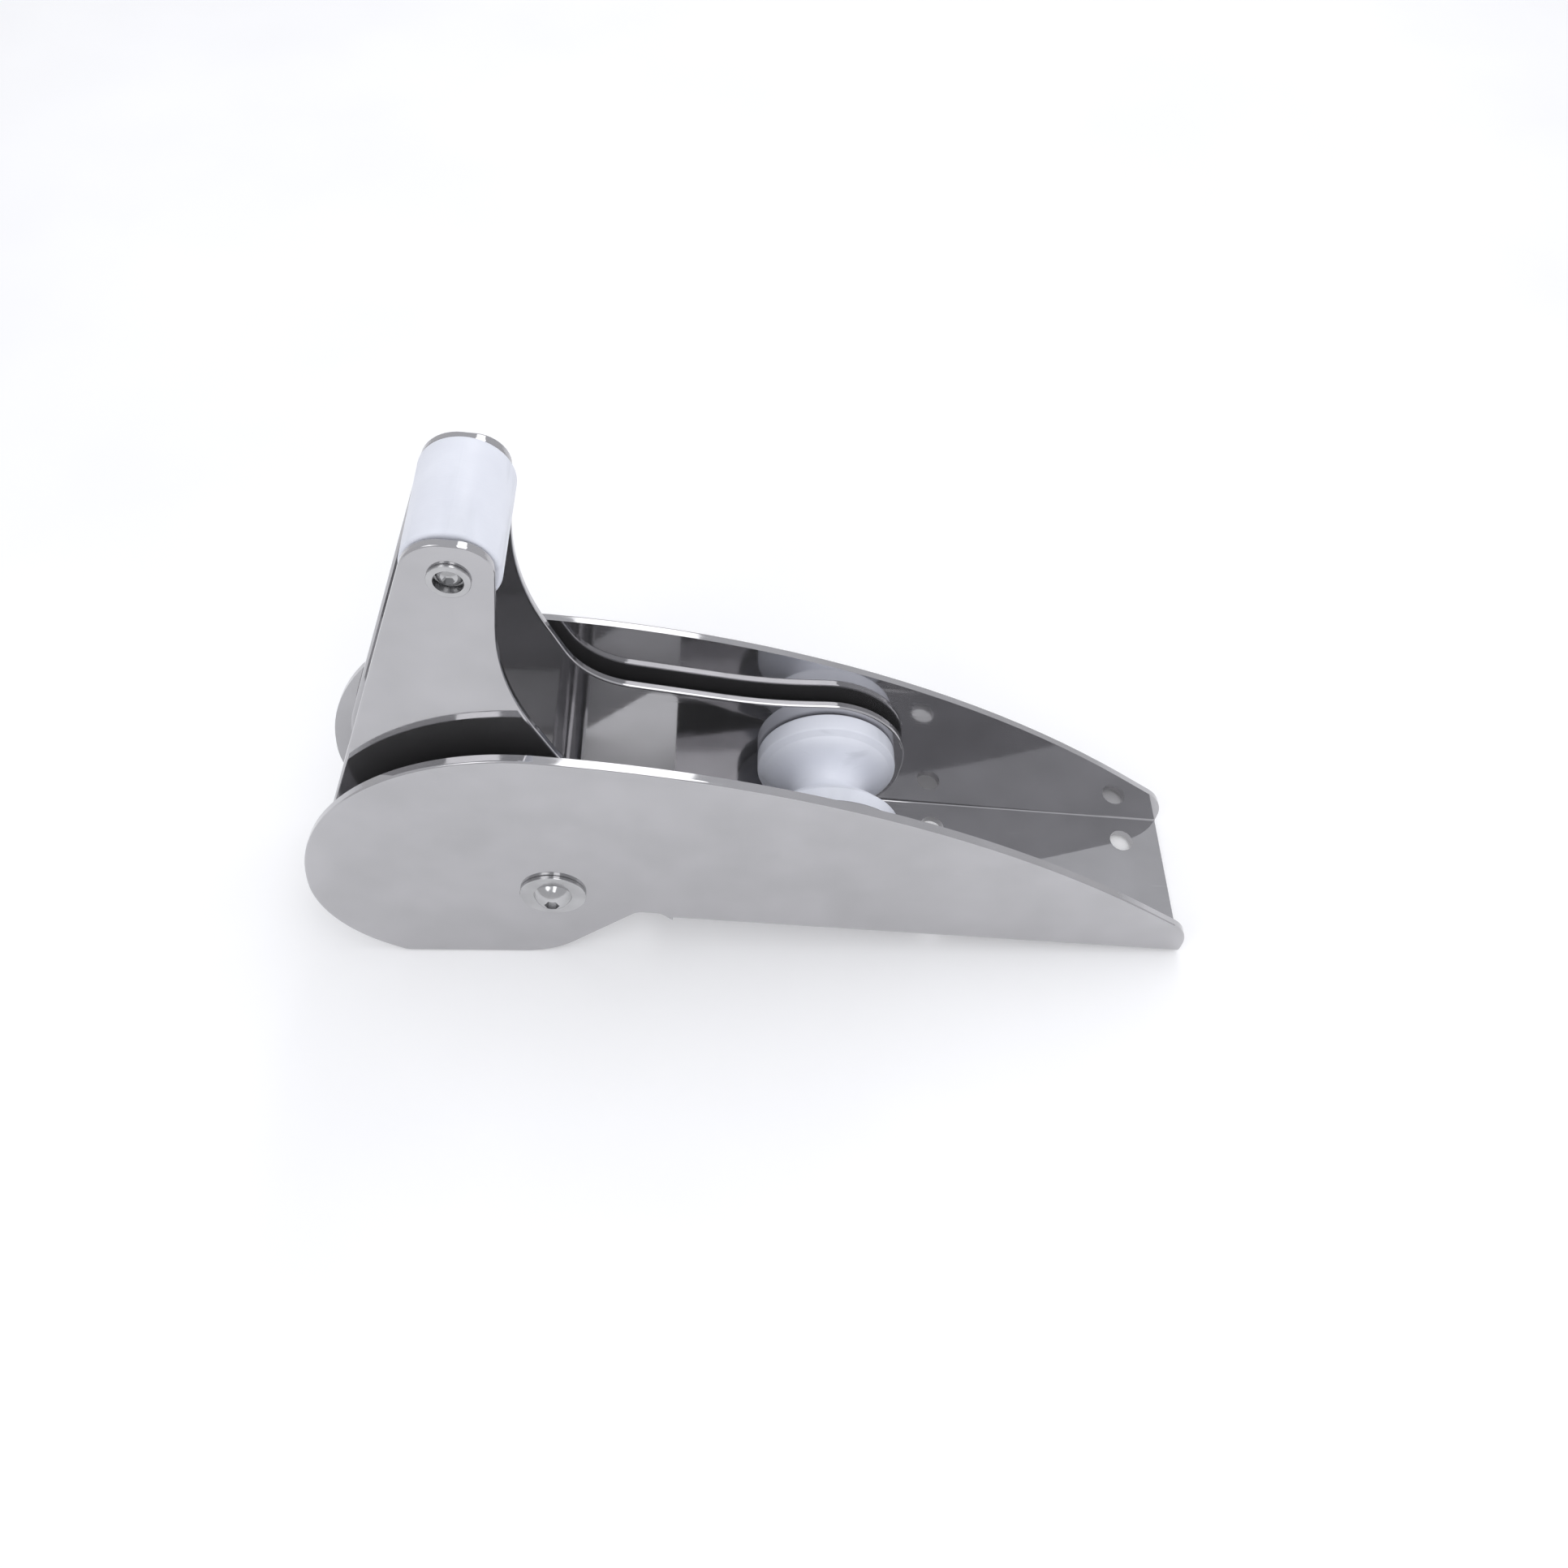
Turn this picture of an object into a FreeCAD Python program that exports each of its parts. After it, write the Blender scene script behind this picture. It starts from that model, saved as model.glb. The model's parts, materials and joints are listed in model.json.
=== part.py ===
import FreeCAD, Part
import math
import os

# Tipping bow roller, millimetres.
# +X runs aft along the deck, the bow end is at -X, +Y is starboard and +Z is up.
# The origin is the centre of the four deck bolt holes, on the underside of the channel floor.

V = FreeCAD.Vector
Y_AXIS = V(0, 1, 0)
Z_AXIS = V(0, 0, 1)
SIDES = {"port": -1, "starboard": 1}
TINY = 1e-6

# Sheet metal
SHEET = 4.0
CHANNEL_WIDTH = 81.0
BEND_INNER_RADIUS = 1.0
EDGE_ROUND = 1.1

# Pivot of the tipping cradle. Outlines are measured from it.
PIVOT_X = -235.0
PIVOT_Z = 19.5
UNDERSIDE = -PIVOT_Z
FLOOR_TOP = SHEET - PIVOT_Z

# Cheek outline: corners as (x, z, rounding radius)
BOW_TIP = -110.0
CHEEK_TOP = 99.0
TAIL_TIP = 305.6
RELIEF_END = 56.0
RELIEF_TOP = UNDERSIDE + 5.8
LOBE_TOP = (BOW_TIP, CHEEK_TOP, 101.0)
BACK_SWEEP = (144.5, CHEEK_TOP, 540.0)
TAIL_SHOULDER = (TAIL_TIP - 1.2, 0.5, 22.0)
TAIL_HEEL = (TAIL_TIP, UNDERSIDE, 5.0)
RELIEF_HEEL = (RELIEF_END, UNDERSIDE, 6.0)
RELIEF_AFT = (50.0, RELIEF_TOP, 6.0)
RELIEF_FORE = (39.0, RELIEF_TOP, 6.0)
LOBE_HEEL = (0.8, -56.2, 38.0)
LOBE_TOE = (-70.0, -63.7, 6.0)
LOBE_CHIN = (BOW_TIP, -42.5, 62.0)

# Floor
FLOOR_FRONT = 53.5
HOLE_SPACING_X = 100.0
HOLE_SPACING_Y = 44.0
HOLE_DIAMETER = 12.0

# Cradle. It has side play in the channel and sits towards starboard.
CRADLE_WIDTH = 59.0
CRADLE_OFFSET = 2.6
FLOOR_GAP = 0.5
ARM_AXLE = (-39.2, 186.9)
SPOOL_AXLE = (123.0, 29.5)

# Cradle outline: corners as (x, z, rounding radius)
AFT_TIP = 161.3
ARM_TOP = ARM_AXLE[1] + 16.5
CRADLE_BASE = FLOOR_TOP + FLOOR_GAP
ARM_CROWN_FORE = (ARM_AXLE[0] - 14.2, ARM_TOP, 16.2)
ARM_CROWN_AFT = (ARM_AXLE[0] + 16.5, ARM_TOP, 13.0)
ARM_BEND = (-24.2, 131.3, 120.0)
ARM_FOOT = (8.2, 70.5, 36.0)
DECK_DIP = (90.0, 63.1, 200.0)
AFT_SHOULDER = (AFT_TIP, 69.7, 40.0)
AFT_HEEL = (AFT_TIP, CRADLE_BASE, 32.0)
BASE_RISE = (104.0, CRADLE_BASE, 40.0)
BASE_ARCH = (37.0, 8.3, 6.0)
PIVOT_HEEL = (-12.0, -33.0, 18.0)
PIVOT_TOE = (-62.0, -38.0, 20.0)
BREAST = (-108.6, -10.0, 60.0)

# Top roller
TOP_ROLLER_RADIUS = 18.4
TOP_ROLLER_EDGE = 1.5
ROLLER_SIDE_GAP = 0.4
RUNNING_CLEARANCE = 0.08

# Spool roller. The groove is given over half its width as (distance from the middle, radius).
SPOOL_RADIUS = 32.6
SPOOL_RIM_START = 16.4
SPOOL_RIM_ROUND = 1.3
SPOOL_WAIST = (0.0, 16.5)
SPOOL_GROOVE = ((6.0, 19.6), (10.2, 25.9), (14.0, 29.9))

# Roller axles and their flanged end caps
AXLE_DIAMETER = 16.0
CAP_BODY_DIAMETER = 13.0
CAP_FLANGE_THICKNESS = 1.5
CAP_FLANGE_EDGE = 0.5
CAP_RECESS_DIAMETER = 11.2
CAP_WEB = 1.6
M6 = 6.0
M6_LENGTH = 16.0
M6_HEAD_DIAMETER = 10.5
M6_HEAD_HEIGHT = 3.3
M6_HEX = 4.0
TAP_SPARE = 1.0

# Button heads: flat on the crown and socket depth, as parts of the head's height
CROWN_CUT = 0.08
SOCKET_DEPTH = 0.6

# Pivot bolt, washers and lock nut
M10 = 10.0
M10_HEAD_DIAMETER = 17.5
M10_HEAD_HEIGHT = 5.5
M10_HEX = 6.0
M10_LENGTH = 100.0
CHEEK_BOLT_HOLE = 10.5
WASHER_DIAMETER = 30.0
WASHER_THICKNESS = 2.0
WASHER_EDGE = 0.4
NUT_ACROSS_FLATS = 17.0
NUT_HEX_HEIGHT = 7.6
NUT_HEIGHT = 10.0
NUT_CROWN_DIAMETER = 16.4
NUT_FLARE = 6.3
NUT_COLLAR_DIAMETER = 15.4
NUT_LIP = 0.6
INSERT_DIAMETER = 13.0
NUT_MOUTH_DIAMETER = 11.0

# Pivot tube and bushes
TUBE_OUTER_DIAMETER = 16.0
TUBE_INNER_DIAMETER = 12.0
BUSH_FLANGE_DIAMETER = 26.0
BUSH_FLANGE_THICKNESS = 4.0
BUSH_BARREL_LENGTH = 15.0

HALF_WIDTH = CHANNEL_WIDTH / 2
INNER_HALF = HALF_WIDTH - SHEET
CRADLE_HALF = CRADLE_WIDTH / 2
PLATE_INNER = CRADLE_HALF - SHEET
ROLLER_HALF = PLATE_INNER - ROLLER_SIDE_GAP
WASHER_FACE = HALF_WIDTH + WASHER_THICKNESS
NUT_HEX_TOP = WASHER_FACE + NUT_HEX_HEIGHT
NUT_TOP = WASHER_FACE + NUT_HEIGHT
PAST_EVERYTHING = 2 * CHANNEL_WIDTH


def from_pivot(x, y, z):
    """A point given from the pivot, in the part's frame."""
    return V(PIVOT_X + x, y, PIVOT_Z + z)


def rounded_outline(corners, y):
    """Closed wire in the plane Y = y through corners (x, z, radius), each rounded by its radius."""
    points = [from_pivot(x, y, z) for x, z, _ in corners]
    arcs = []
    for i, (_, _, radius) in enumerate(corners):
        before = points[i - 1] - points[i]
        after = points[(i + 1) % len(points)] - points[i]
        before.normalize()
        after.normalize()
        half_angle = before.getAngle(after) / 2
        reach = radius / math.tan(half_angle)
        bisector = before + after
        bisector.normalize()
        apex = points[i] + bisector * (radius / math.sin(half_angle) - radius)
        arcs.append(Part.Arc(points[i] + before * reach, apex, points[i] + after * reach))
    edges = []
    for i, arc in enumerate(arcs):
        edges.append(arc.toShape())
        start = arc.EndPoint
        end = arcs[(i + 1) % len(arcs)].StartPoint
        if start.distanceToPoint(end) > TINY:
            edges.append(Part.LineSegment(start, end).toShape())
    return Part.Wire(edges)


def plate_from(corners, y_low, thickness):
    face = Part.Face(rounded_outline(corners, y_low))
    return face.extrude(Y_AXIS * thickness)


def rod(x, z, y_low, y_high, diameter):
    """Round bar across the part, at (x, z) from the pivot."""
    return Part.makeCylinder(diameter / 2, y_high - y_low, from_pivot(x, y_low, z), Y_AXIS)


def side_rod(x, z, side, near, far, diameter):
    """Round bar on one side, from |Y| = near to |Y| = far."""
    low, high = sorted((side * near, side * far))
    return rod(x, z, low, high, diameter)


def through_hole(x, z, diameter):
    """Cutter for a hole right across the part."""
    return rod(x, z, -PAST_EVERYTHING, PAST_EVERYTHING, diameter)


def hex_bar(x, z, y_low, y_high, across_flats):
    corner = across_flats / math.sqrt(3)
    points = []
    for i in range(7):
        angle = math.radians(60 * i)
        points.append(from_pivot(x + corner * math.cos(angle), y_low, z + corner * math.sin(angle)))
    return Part.Face(Part.makePolygon(points)).extrude(Y_AXIS * (y_high - y_low))


def block(x_low, x_high, half_width, z_low, z_high):
    """Box centred on Y = 0, with X and Z from the pivot."""
    corner = from_pivot(x_low, -half_width, z_low)
    return Part.makeBox(x_high - x_low, 2 * half_width, z_high - z_low, corner)


def round_sheet_edges(solid, radius):
    """Rounds the long outline edges of a sheet, which lie in planes of constant Y."""
    outline = []
    for edge in solid.Edges:
        hole = edge.Curve.TypeId == "Part::GeomCircle" and edge.Closed
        if edge.BoundBox.YLength < TINY and not hole:
            outline.append(edge)
    return solid.makeFillet(radius, outline)


def round_rims(turned, diameter, radius):
    """Rounds the circular edges of a turned solid that are about as large as diameter."""
    rims = []
    for edge in turned.Edges:
        box = edge.BoundBox
        if box.YLength < TINY and box.XLength > diameter - radius:
            rims.append(edge)
    return turned.makeFillet(radius, rims)


def cheek_outline():
    """Bow lobe that hangs below the floor, convex top edge, round tail, relief where the bend starts."""
    return [
        LOBE_TOP, BACK_SWEEP, TAIL_SHOULDER, TAIL_HEEL, RELIEF_HEEL,
        RELIEF_AFT, RELIEF_FORE, LOBE_HEEL, LOBE_TOE, LOBE_CHIN
    ]


def channel():
    """One bent sheet: two cheeks and the floor between them, open below the bow lobe."""
    sheet = plate_from(cheek_outline(), -HALF_WIDTH, CHANNEL_WIDTH)
    sheet = round_sheet_edges(sheet, EDGE_ROUND)
    sheet = round_bend(sheet)
    sheet = sheet.cut(channel_inside())
    for x in (-HOLE_SPACING_X / 2, HOLE_SPACING_X / 2):
        for y in (-HOLE_SPACING_Y / 2, HOLE_SPACING_Y / 2):
            sheet = sheet.cut(Part.makeCylinder(HOLE_DIAMETER / 2, SHEET, V(x, y, 0), Z_AXIS))
    return sheet.cut(through_hole(0, 0, CHEEK_BOLT_HOLE))


def round_lower_edges(long_block, low, radius):
    """Rounds the two lower edges of a block along X whose underside is at low."""
    lower = []
    for edge in long_block.Edges:
        box = edge.BoundBox
        if box.YLength < TINY and box.ZMax < PIVOT_Z + low + TINY:
            lower.append(edge)
    return long_block.makeFillet(radius, lower)


def round_bend(solid):
    """Rounds the outside of the two bends, aft of the relief notch."""
    outer = BEND_INNER_RADIUS + SHEET
    strip = block(RELIEF_END, TAIL_TIP, HALF_WIDTH, UNDERSIDE, UNDERSIDE + outer)
    bent = block(RELIEF_END, TAIL_TIP, HALF_WIDTH, UNDERSIDE, UNDERSIDE + 3 * outer)
    return solid.cut(strip.cut(round_lower_edges(bent, UNDERSIDE, outer)))


def channel_inside():
    """Space between the cheeks: above the floor, and right through ahead of the floor."""
    fore = BOW_TIP - SHEET
    above = block(fore, TAIL_TIP + SHEET, INNER_HALF, FLOOR_TOP, CHEEK_TOP + SHEET)
    above = round_lower_edges(above, FLOOR_TOP, BEND_INNER_RADIUS)
    right_through = block(fore, FLOOR_FRONT, INNER_HALF, -CHEEK_TOP, CHEEK_TOP)
    return above.fuse(right_through)


def cradle_outline():
    """Arm that leans forward, low deck that dips ahead of the round aft end, arched underside."""
    return [
        ARM_CROWN_FORE, ARM_CROWN_AFT, ARM_BEND, ARM_FOOT, DECK_DIP, AFT_SHOULDER,
        AFT_HEEL, BASE_RISE, BASE_ARCH, PIVOT_HEEL, PIVOT_TOE, BREAST
    ]


def cradle_plate(side):
    y_low = min(side * PLATE_INNER, side * CRADLE_HALF)
    plate = round_sheet_edges(plate_from(cradle_outline(), y_low, SHEET), EDGE_ROUND)
    plate = plate.cut(through_hole(0, 0, TUBE_OUTER_DIAMETER))
    for x, z in (ARM_AXLE, SPOOL_AXLE):
        plate = plate.cut(through_hole(x, z, CAP_BODY_DIAMETER))
    return plate


def pivot_tube():
    """Cross tube welded into both cradle plates."""
    tube = rod(0, 0, -CRADLE_HALF, CRADLE_HALF, TUBE_OUTER_DIAMETER)
    return tube.cut(through_hole(0, 0, TUBE_INNER_DIAMETER))


def pivot_bush(side):
    """Flanged bush in the tube's mouth; its flange keeps the cradle off the cheek."""
    flange_face = CRADLE_HALF + BUSH_FLANGE_THICKNESS
    barrel = side_rod(0, 0, side, CRADLE_HALF - BUSH_BARREL_LENGTH, CRADLE_HALF, TUBE_INNER_DIAMETER)
    flange = side_rod(0, 0, side, CRADLE_HALF, flange_face, BUSH_FLANGE_DIAMETER)
    return barrel.fuse(flange).cut(through_hole(0, 0, M10 + 2 * RUNNING_CLEARANCE))


def button_screw(x, z, side, seat, length, shank, head_diameter, head_height, hex_size):
    """Socket button-head screw on one side, its head outwards and seated at |Y| = seat."""
    dome_radius = (head_height ** 2 + (head_diameter / 2) ** 2) / (2 * head_height)
    dome = Part.makeSphere(dome_radius, from_pivot(x, side * (seat + head_height - dome_radius), z))
    crown = seat + head_height * (1 - CROWN_CUT)
    head = side_rod(x, z, side, seat, crown, head_diameter).common(dome)
    low, high = sorted((side * (seat + head_height * (1 - SOCKET_DEPTH)), side * crown))
    socket = hex_bar(x, z, low, high, hex_size)
    stem = side_rod(x, z, side, seat - length, seat, shank)
    return head.cut(socket).fuse(stem)


def pivot_bolt():
    """M10 button-head bolt, head to port, through both cheeks and the cradle tube."""
    return button_screw(
        0, 0, SIDES["port"], WASHER_FACE, M10_LENGTH, M10,
        M10_HEAD_DIAMETER, M10_HEAD_HEIGHT, M10_HEX
    )


def pivot_washers():
    """Large washers outside both cheeks."""
    rings = []
    for side in SIDES.values():
        disc = side_rod(0, 0, side, HALF_WIDTH, WASHER_FACE, WASHER_DIAMETER)
        disc = round_rims(disc, WASHER_DIAMETER, WASHER_EDGE)
        rings.append(disc.cut(through_hole(0, 0, CHEEK_BOLT_HOLE)))
    return Part.makeCompound(rings)


def pivot_nut():
    """Lock nut on the starboard end: a hexagon with a round collar that holds the nylon ring."""
    body = hex_bar(0, 0, WASHER_FACE, NUT_HEX_TOP, NUT_ACROSS_FLATS)
    crown_radius = NUT_CROWN_DIAMETER / 2
    foot = from_pivot(0, WASHER_FACE, 0)
    bevel = Part.makeCone(crown_radius + NUT_FLARE, crown_radius, NUT_HEX_HEIGHT, foot, Y_AXIS)
    body = body.common(bevel).cut(side_rod(0, 0, 1, WASHER_FACE, NUT_HEX_TOP, M10))
    collar = side_rod(0, 0, 1, NUT_HEX_TOP, NUT_TOP, NUT_COLLAR_DIAMETER)
    pocket = side_rod(0, 0, 1, NUT_HEX_TOP, NUT_TOP - NUT_LIP, INSERT_DIAMETER)
    mouth = side_rod(0, 0, 1, NUT_HEX_TOP, NUT_TOP, NUT_MOUTH_DIAMETER)
    return body.fuse(collar.cut(pocket).cut(mouth))


def nut_insert():
    """Nylon locking ring inside the nut's collar."""
    ring = side_rod(0, 0, 1, NUT_HEX_TOP, NUT_TOP - NUT_LIP, INSERT_DIAMETER)
    return ring.cut(through_hole(0, 0, M10))


def top_roller():
    """Plain cylindrical roller between the arm tops."""
    body = rod(*ARM_AXLE, -ROLLER_HALF, ROLLER_HALF, 2 * TOP_ROLLER_RADIUS)
    body = round_rims(body, 2 * TOP_ROLLER_RADIUS, TOP_ROLLER_EDGE)
    return body.cut(through_hole(*ARM_AXLE, AXLE_DIAMETER + 2 * RUNNING_CLEARANCE))


def spool_groove(x, z):
    """Curve across the spool: hollow waist, then a shoulder up towards each rim."""
    points = [(-y, r) for y, r in reversed(SPOOL_GROOVE)] + [SPOOL_WAIST] + list(SPOOL_GROOVE)
    curve = Part.BSplineCurve()
    curve.interpolate([from_pivot(x, y, z + r) for y, r in points])
    return curve.toShape()


def spool_roller():
    """Spool with wide rims, a rounded shoulder and a hollow waist that centres the chain."""
    x, z = SPOOL_AXLE
    bore = AXLE_DIAMETER / 2 + RUNNING_CLEARANCE
    groove = spool_groove(x, z)
    start = groove.Vertexes[0].Point
    end = groove.Vertexes[-1].Point
    side = [(SPOOL_RIM_START, SPOOL_RADIUS), (ROLLER_HALF, SPOOL_RADIUS), (ROLLER_HALF, bore)]
    across = [end] + [from_pivot(x, y, z + r) for y, r in side]
    back = [from_pivot(x, -y, z + r) for y, r in reversed(side)] + [start]
    face = Part.Face(Part.Wire([groove] + Part.makePolygon(across + back).Edges))
    spool = face.revolve(from_pivot(x, 0, z), Y_AXIS, 360)
    return round_rims(spool, 2 * SPOOL_RADIUS, SPOOL_RIM_ROUND)


def roller_axle(x, z):
    """Solid axle that the roller turns on, shouldered against both plates and tapped at its ends."""
    axle = rod(x, z, -PLATE_INNER, PLATE_INNER, AXLE_DIAMETER)
    depth = M6_LENGTH - CAP_WEB + TAP_SPARE
    for side in SIDES.values():
        axle = axle.cut(side_rod(x, z, side, PLATE_INNER - depth, PLATE_INNER, M6))
    return axle


def axle_cap(x, z, side):
    """Flanged cap let into the plate, hollowed to take the screw head."""
    face = CRADLE_HALF + CAP_FLANGE_THICKNESS
    flange = side_rod(x, z, side, CRADLE_HALF, face, AXLE_DIAMETER)
    flange = round_rims(flange, AXLE_DIAMETER, CAP_FLANGE_EDGE)
    body = side_rod(x, z, side, PLATE_INNER, CRADLE_HALF + CAP_FLANGE_EDGE, CAP_BODY_DIAMETER)
    recess = side_rod(x, z, side, PLATE_INNER + CAP_WEB, face, CAP_RECESS_DIAMETER)
    return flange.fuse(body).cut(recess).cut(through_hole(x, z, M6))


def axle_screws(x, z):
    """A screw at each end clamps the cap, the plate and the axle together."""
    screws = []
    seat = PLATE_INNER + CAP_WEB
    for side in SIDES.values():
        screws.append(button_screw(
            x, z, side, seat, M6_LENGTH, M6, M6_HEAD_DIAMETER, M6_HEAD_HEIGHT, M6_HEX
        ))
    return Part.makeCompound(screws)


def channel_nodes():
    """Everything fixed to the deck, centred on Y = 0."""
    return {
        "channel": channel(),
        "pivot_bolt": pivot_bolt(),
        "pivot_washers": pivot_washers(),
        "pivot_nut": pivot_nut(),
        "pivot_nut_insert": nut_insert(),
    }


def cradle_nodes():
    """Everything that tips, moved sideways to where the cradle sits."""
    nodes = {
        "pivot_tube": pivot_tube(),
        "top_roller": top_roller(),
        "spool_roller": spool_roller(),
    }
    for name, side in SIDES.items():
        nodes["cradle_plate_" + name] = cradle_plate(side)
        nodes["pivot_bush_" + name] = pivot_bush(side)
    for name, (x, z) in {"top": ARM_AXLE, "spool": SPOOL_AXLE}.items():
        nodes[name + "_axle"] = roller_axle(x, z)
        nodes[name + "_axle_screws"] = axle_screws(x, z)
        for side_name, side in SIDES.items():
            nodes[name + "_axle_cap_" + side_name] = axle_cap(x, z, side)
    for shape in nodes.values():
        shape.translate(Y_AXIS * CRADLE_OFFSET)
    return nodes


def main():
    os.makedirs("parts", exist_ok=True)
    for name, shape in {**channel_nodes(), **cradle_nodes()}.items():
        shape.exportStep("parts/" + name + ".step")
        print(name, len(shape.Solids), "solids", round(shape.Volume), "mm3", "valid", shape.isValid())


main()
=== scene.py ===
import json
import math

import bpy
from mathutils import Matrix, Vector


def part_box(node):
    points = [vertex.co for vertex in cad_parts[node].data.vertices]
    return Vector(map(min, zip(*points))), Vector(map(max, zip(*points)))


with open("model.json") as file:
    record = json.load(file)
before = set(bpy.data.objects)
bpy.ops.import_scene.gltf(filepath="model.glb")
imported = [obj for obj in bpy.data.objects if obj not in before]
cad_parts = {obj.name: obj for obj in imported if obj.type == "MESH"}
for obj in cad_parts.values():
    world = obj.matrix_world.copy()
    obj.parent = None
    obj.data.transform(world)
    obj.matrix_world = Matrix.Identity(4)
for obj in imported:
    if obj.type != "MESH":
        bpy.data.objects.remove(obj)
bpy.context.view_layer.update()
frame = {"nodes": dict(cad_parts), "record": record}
NODES = frame["nodes"]

MM = 0.001


def across_middle(node):
    """The middle of a node, on the part's centre plane."""
    low, high = (Vector(corner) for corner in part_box(node))
    middle = (low + high) / 2
    return Vector((middle.x, 0.0, middle.z))


# The part lies on its bow lobe and on the tail of its floor, so the table is tilted to it.
# The lobe's flat runs a little down towards the table at its aft end, which LOBE_DIP leaves room for.
PIVOT = across_middle("pivot_bolt")
LOBE_FLAT_REACH = 70.0 * MM
LOBE_DIP = 1.0 * MM
CHANNEL_LOW, CHANNEL_HIGH = (Vector(corner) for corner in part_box("channel"))
LOBE_FLAT_FORE = Vector((PIVOT.x - LOBE_FLAT_REACH, 0.0, CHANNEL_LOW.z - LOBE_DIP))
TAIL_UNDERSIDE = Vector((CHANNEL_HIGH.x, 0.0, 0.0))
TABLE_SIZE = 8.0

# Camera, measured from the pivot
CAMERA_OFFSET = Vector((24.4, -372.6, 559.8)) * MM
CAMERA_RIGHT = Vector((0.9900, -0.0075, 0.1408))
CAMERA_UP = Vector((-0.0757, 0.8146, 0.5751))
CAMERA_NEAR_CLIP = 10.0 * MM
FOCAL_OVER_WIDTH = 0.8942
SENSOR_MM = 36.0

# Light. The overhead strip lies across the part, its long side along Y.
SKY_HORIZON = (0.70, 0.70, 0.72)
SKY_TOP = (0.66, 0.67, 0.70)
SKY_RISE = (0.0, 0.9)
OVERHEAD_HEIGHT = 1.5
OVERHEAD_SIZE = (4.0, 0.5)
OVERHEAD_POWER = 12.5
FILL_PLACE = Vector((-0.9, -0.7, 1.0))
FILL_SIZE = (0.5, 0.5)
FILL_POWER = 1.5

# Where the sockets of a colour mix node are
MIX_COLOURS = (6, 7)
MIX_RESULT = 2

# Ranges that ramp() maps from or to, and a pattern's stretch along X, Y and Z
UNIT = (0.0, 1.0)
NOISE_MIDDLE = (0.3, 0.7)
EVEN = (1.0, 1.0, 1.0)

# Table
TABLE_MOTTLING = {"scale": 5.0, "detail": 3.0}
TABLE_DARK = (0.90, 0.90, 0.91)
TABLE_LIGHT = (0.95, 0.95, 0.96)
TABLE_ROUGHNESS = 0.9
TABLE_GLOW_COLOUR = (1.0, 1.0, 1.0, 1.0)
TABLE_GLOW = 0.13

# Polished steel
STEEL_METALLIC = 0.92
STEEL_MOTTLING = {"scale": 34.0, "detail": 4.0}
STEEL_DARK = (0.450, 0.446, 0.456)
STEEL_LIGHT = (0.502, 0.497, 0.510)
SCRATCHES = {"scale": 60.0, "detail": 6.0, "stretch": (1.0, 10.0, 24.0)}
SCRATCH_BAND = (0.66, 0.76)
SCRATCH_COVER = (0.0, 0.5)
SCRATCH_COLOUR = (0.56, 0.56, 0.57)
SCRATCH_ROUGHNESS = (0.0, 0.09)
STREAKS = {"scale": 150.0, "detail": 5.0, "stretch": (0.3, 6.0, 6.0)}
STREAK_ROUGHNESS = (0.03, 0.09)
STEEL_WAVES = {"scale": 70.0, "detail": 2.0}
STEEL_WAVE_BUMP = {"strength": 0.010, "distance": 0.001}

# Fastener steel
FASTENER_METALLIC = 1.0
FASTENER_MOTTLING = {"scale": 90.0, "detail": 4.0}
FASTENER_DARK = (0.44, 0.44, 0.445)
FASTENER_LIGHT = (0.55, 0.55, 0.555)
FASTENER_HAZE = {"scale": 300.0, "detail": 3.0}
FASTENER_ROUGHNESS = (0.10, 0.22)
TURNING_MARKS = {"scale": 500.0, "detail": 3.0, "stretch": (1.0, 4.0, 1.0)}
TURNING_BUMP = {"strength": 0.06, "distance": 0.0004}

# White plastic
PLASTIC_CLOUDS = {"scale": 35.0, "detail": 4.0}
PLASTIC_DARK = (0.72, 0.74, 0.81)
PLASTIC_LIGHT = (0.80, 0.82, 0.89)
SCUFFS = {"scale": 45.0, "detail": 8.0, "stretch": (1.0, 0.5, 4.0)}
SCUFF_BAND = (0.57, 0.72)
SCUFF_COVER = (0.0, 0.7)
SCUFF_COLOUR = (0.66, 0.68, 0.74)
PLASTIC_HAZE = {"scale": 80.0, "detail": 5.0}
PLASTIC_ROUGHNESS = (0.30, 0.46)
RINGS = {"scale": 120.0, "detail": 2.0, "stretch": (0.05, 12.0, 0.05)}
RING_BUMP = {"strength": 0.10, "distance": 0.0003}
PLASTIC_SUBSURFACE = 0.08
PLASTIC_SUBSURFACE_RADIUS = (0.004, 0.004, 0.004)

# Nylon
BLACK_NYLON = {"dark": (0.012, 0.012, 0.016), "light": (0.022, 0.022, 0.028), "rough": 0.45}
NATURAL_NYLON = {"dark": (0.66, 0.68, 0.70), "light": (0.76, 0.78, 0.80), "rough": 0.50}
NYLON_MOTTLING = {"scale": 120.0, "detail": 5.0}
NYLON_HAZE = {"scale": 260.0, "detail": 3.0}
NYLON_ROUGHNESS_SPREAD = 0.08
NYLON_GRAIN = {"scale": 700.0, "detail": 3.0}
NYLON_GRAIN_BUMP = {"strength": 0.08, "distance": 0.0003}


def material(name):
    made = bpy.data.materials.new(name)
    made.use_nodes = True
    return made, made.node_tree, made.node_tree.nodes["Principled BSDF"]


def noise(tree, scale, detail, stretch=EVEN):
    """Procedural noise in the object's own coordinates, stretched along an axis if asked."""
    place = tree.nodes.new("ShaderNodeTexCoord")
    mapping = tree.nodes.new("ShaderNodeMapping")
    mapping.inputs["Scale"].default_value = stretch
    tree.links.new(place.outputs["Object"], mapping.inputs["Vector"])
    texture = tree.nodes.new("ShaderNodeTexNoise")
    texture.inputs["Scale"].default_value = scale
    texture.inputs["Detail"].default_value = detail
    tree.links.new(mapping.outputs["Vector"], texture.inputs["Vector"])
    return texture.outputs["Fac"]


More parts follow.
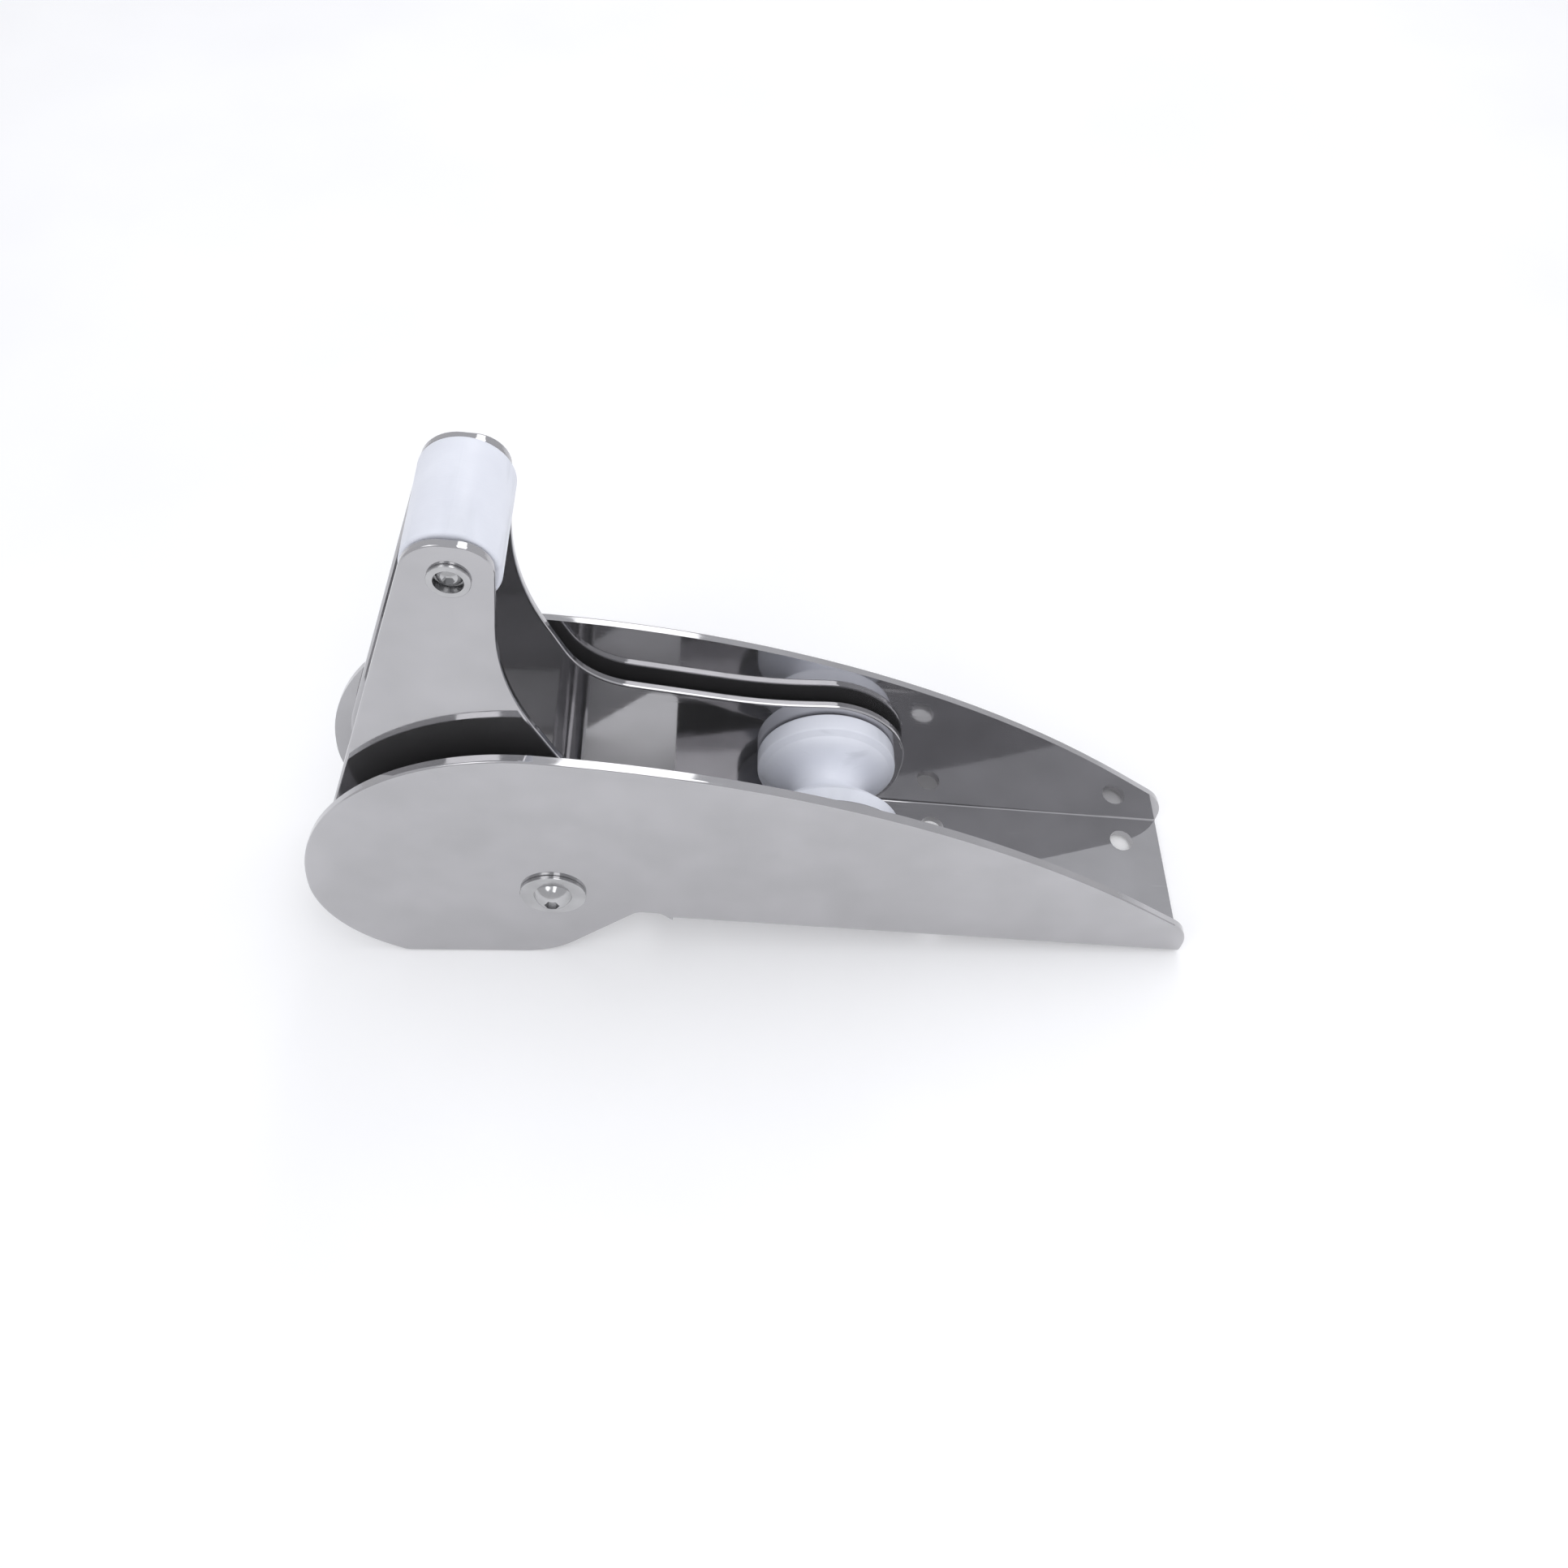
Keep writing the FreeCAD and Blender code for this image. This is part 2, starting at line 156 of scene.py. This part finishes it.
def ramp(tree, source, result, span=NOISE_MIDDLE):
    """Maps the range span to the range result."""
    node = tree.nodes.new("ShaderNodeMapRange")
    node.inputs["From Min"].default_value, node.inputs["From Max"].default_value = span
    node.inputs["To Min"].default_value, node.inputs["To Max"].default_value = result
    tree.links.new(source, node.inputs["Value"])
    return node.outputs["Result"]


def mix(tree, factor, *colours):
    """Blends two colours, each a value or a node's output."""
    node = tree.nodes.new("ShaderNodeMix")
    node.data_type = "RGBA"
    tree.links.new(factor, node.inputs["Factor"])
    for place, colour in zip(MIX_COLOURS, colours):
        if isinstance(colour, tuple):
            node.inputs[place].default_value = (*colour, 1.0)
        else:
            tree.links.new(colour, node.inputs[place])
    return node.outputs[MIX_RESULT]


def add(tree, first, second):
    node = tree.nodes.new("ShaderNodeMath")
    node.operation = "ADD"
    tree.links.new(first, node.inputs[0])
    tree.links.new(second, node.inputs[1])
    return node.outputs["Value"]


def bump(tree, shader, height, strength, distance):
    node = tree.nodes.new("ShaderNodeBump")
    node.inputs["Strength"].default_value = strength
    node.inputs["Distance"].default_value = distance
    tree.links.new(height, node.inputs["Height"])
    tree.links.new(node.outputs["Normal"], shader.inputs["Normal"])


def shade(tree, pattern, dark, light):
    """Mottles between two colours."""
    return mix(tree, ramp(tree, noise(tree, **pattern), UNIT), dark, light)


def polished_steel():
    """Mirror-polished sheet: faint polishing streaks along it, soft mottling and a few fine scratches."""
    made, tree, shader = material("polished_steel")
    shader.inputs["Metallic"].default_value = STEEL_METALLIC
    tone = shade(tree, STEEL_MOTTLING, STEEL_DARK, STEEL_LIGHT)
    scratches = ramp(tree, noise(tree, **SCRATCHES), SCRATCH_COVER, SCRATCH_BAND)
    tree.links.new(mix(tree, scratches, tone, SCRATCH_COLOUR), shader.inputs["Base Color"])
    streaks = ramp(tree, noise(tree, **STREAKS), STREAK_ROUGHNESS)
    haze = add(tree, streaks, ramp(tree, scratches, SCRATCH_ROUGHNESS, UNIT))
    tree.links.new(haze, shader.inputs["Roughness"])
    bump(tree, shader, noise(tree, **STEEL_WAVES), **STEEL_WAVE_BUMP)
    return made


def fastener_steel():
    """Bright turned steel, a little rougher than the sheet."""
    made, tree, shader = material("fastener_steel")
    shader.inputs["Metallic"].default_value = FASTENER_METALLIC
    tone = shade(tree, FASTENER_MOTTLING, FASTENER_DARK, FASTENER_LIGHT)
    tree.links.new(tone, shader.inputs["Base Color"])
    haze = ramp(tree, noise(tree, **FASTENER_HAZE), FASTENER_ROUGHNESS)
    tree.links.new(haze, shader.inputs["Roughness"])
    bump(tree, shader, noise(tree, **TURNING_MARKS), **TURNING_BUMP)
    return made


def white_plastic():
    """Turned white plastic: fine rings round the roller, faint scuffs and a cool tint."""
    made, tree, shader = material("white_plastic")
    tone = shade(tree, PLASTIC_CLOUDS, PLASTIC_DARK, PLASTIC_LIGHT)
    scuffs = ramp(tree, noise(tree, **SCUFFS), SCUFF_COVER, SCUFF_BAND)
    tree.links.new(mix(tree, scuffs, tone, SCUFF_COLOUR), shader.inputs["Base Color"])
    haze = ramp(tree, noise(tree, **PLASTIC_HAZE), PLASTIC_ROUGHNESS)
    tree.links.new(haze, shader.inputs["Roughness"])
    bump(tree, shader, noise(tree, **RINGS), **RING_BUMP)
    shader.inputs["Subsurface Weight"].default_value = PLASTIC_SUBSURFACE
    shader.inputs["Subsurface Radius"].default_value = PLASTIC_SUBSURFACE_RADIUS
    return made


def nylon(name, dark, light, rough):
    """Moulded nylon with a fine grain."""
    made, tree, shader = material(name)
    tree.links.new(shade(tree, NYLON_MOTTLING, dark, light), shader.inputs["Base Color"])
    roughness = (rough - NYLON_ROUGHNESS_SPREAD, rough + NYLON_ROUGHNESS_SPREAD)
    tree.links.new(ramp(tree, noise(tree, **NYLON_HAZE), roughness), shader.inputs["Roughness"])
    bump(tree, shader, noise(tree, **NYLON_GRAIN), **NYLON_GRAIN_BUMP)
    return made


def assign(materials):
    slots = {entry["node"]: entry["material_slot"] for entry in frame["record"]["subparts"]}
    for name, node in NODES.items():
        node.data.materials.clear()
        node.data.materials.append(materials[slots[name]])


def table():
    """Pale surface under the lobe's flat and the tail."""
    run = TAIL_UNDERSIDE - LOBE_FLAT_FORE
    tilt = math.atan2(run.z, run.x)
    bpy.ops.mesh.primitive_plane_add(size=TABLE_SIZE)
    floor = bpy.context.object
    floor.name = "table"
    floor.matrix_world = Matrix.Translation(LOBE_FLAT_FORE) @ Matrix.Rotation(-tilt, 4, "Y")
    made, tree, shader = material("table")
    tree.links.new(shade(tree, TABLE_MOTTLING, TABLE_DARK, TABLE_LIGHT), shader.inputs["Base Color"])
    shader.inputs["Roughness"].default_value = TABLE_ROUGHNESS
    shader.inputs["Emission Color"].default_value = TABLE_GLOW_COLOUR
    shader.inputs["Emission Strength"].default_value = TABLE_GLOW
    floor.data.materials.append(made)


def sky():
    """Pale room, a little darker overhead."""
    world = bpy.data.worlds.new("world")
    bpy.context.scene.world = world
    world.use_nodes = True
    tree = world.node_tree
    place = tree.nodes.new("ShaderNodeTexCoord")
    parts = tree.nodes.new("ShaderNodeSeparateXYZ")
    tree.links.new(place.outputs["Generated"], parts.inputs["Vector"])
    height = ramp(tree, parts.outputs["Z"], UNIT, SKY_RISE)
    colour = mix(tree, height, SKY_HORIZON, SKY_TOP)
    tree.links.new(colour, tree.nodes["Background"].inputs["Color"])


def softbox(name, place, size, power):
    """Rectangular area light at place, aimed at the pivot. Its first size lies level, square to the aim."""
    data = bpy.data.lights.new(name, "AREA")
    data.shape = "RECTANGLE"
    data.size, data.size_y = size
    data.energy = power
    light = bpy.data.objects.new(name, data)
    aim = (PIVOT - place).to_track_quat("-Z", "Y").to_matrix().to_4x4()
    light.matrix_world = Matrix.Translation(place) @ aim
    bpy.context.scene.collection.objects.link(light)


def camera():
    data = bpy.data.cameras.new("camera")
    data.sensor_width = SENSOR_MM
    data.lens = SENSOR_MM * FOCAL_OVER_WIDTH
    data.clip_start = CAMERA_NEAR_CLIP
    view = bpy.data.objects.new("camera", data)
    back = CAMERA_RIGHT.cross(CAMERA_UP)
    turn = Matrix((CAMERA_RIGHT, CAMERA_UP, back)).transposed().to_4x4()
    view.matrix_world = Matrix.Translation(PIVOT + CAMERA_OFFSET) @ turn
    bpy.context.scene.collection.objects.link(view)
    bpy.context.scene.camera = view


assign({
    "polished_steel": polished_steel(),
    "fastener_steel": fastener_steel(),
    "white_plastic": white_plastic(),
    "black_nylon": nylon("black_nylon", **BLACK_NYLON),
    "natural_nylon": nylon("natural_nylon", **NATURAL_NYLON),
})
table()
sky()
softbox("overhead", Vector((0.0, 0.0, OVERHEAD_HEIGHT)), OVERHEAD_SIZE, OVERHEAD_POWER)
softbox("fill", FILL_PLACE, FILL_SIZE, FILL_POWER)
camera()
bpy.context.scene.view_settings.view_transform = "Standard"
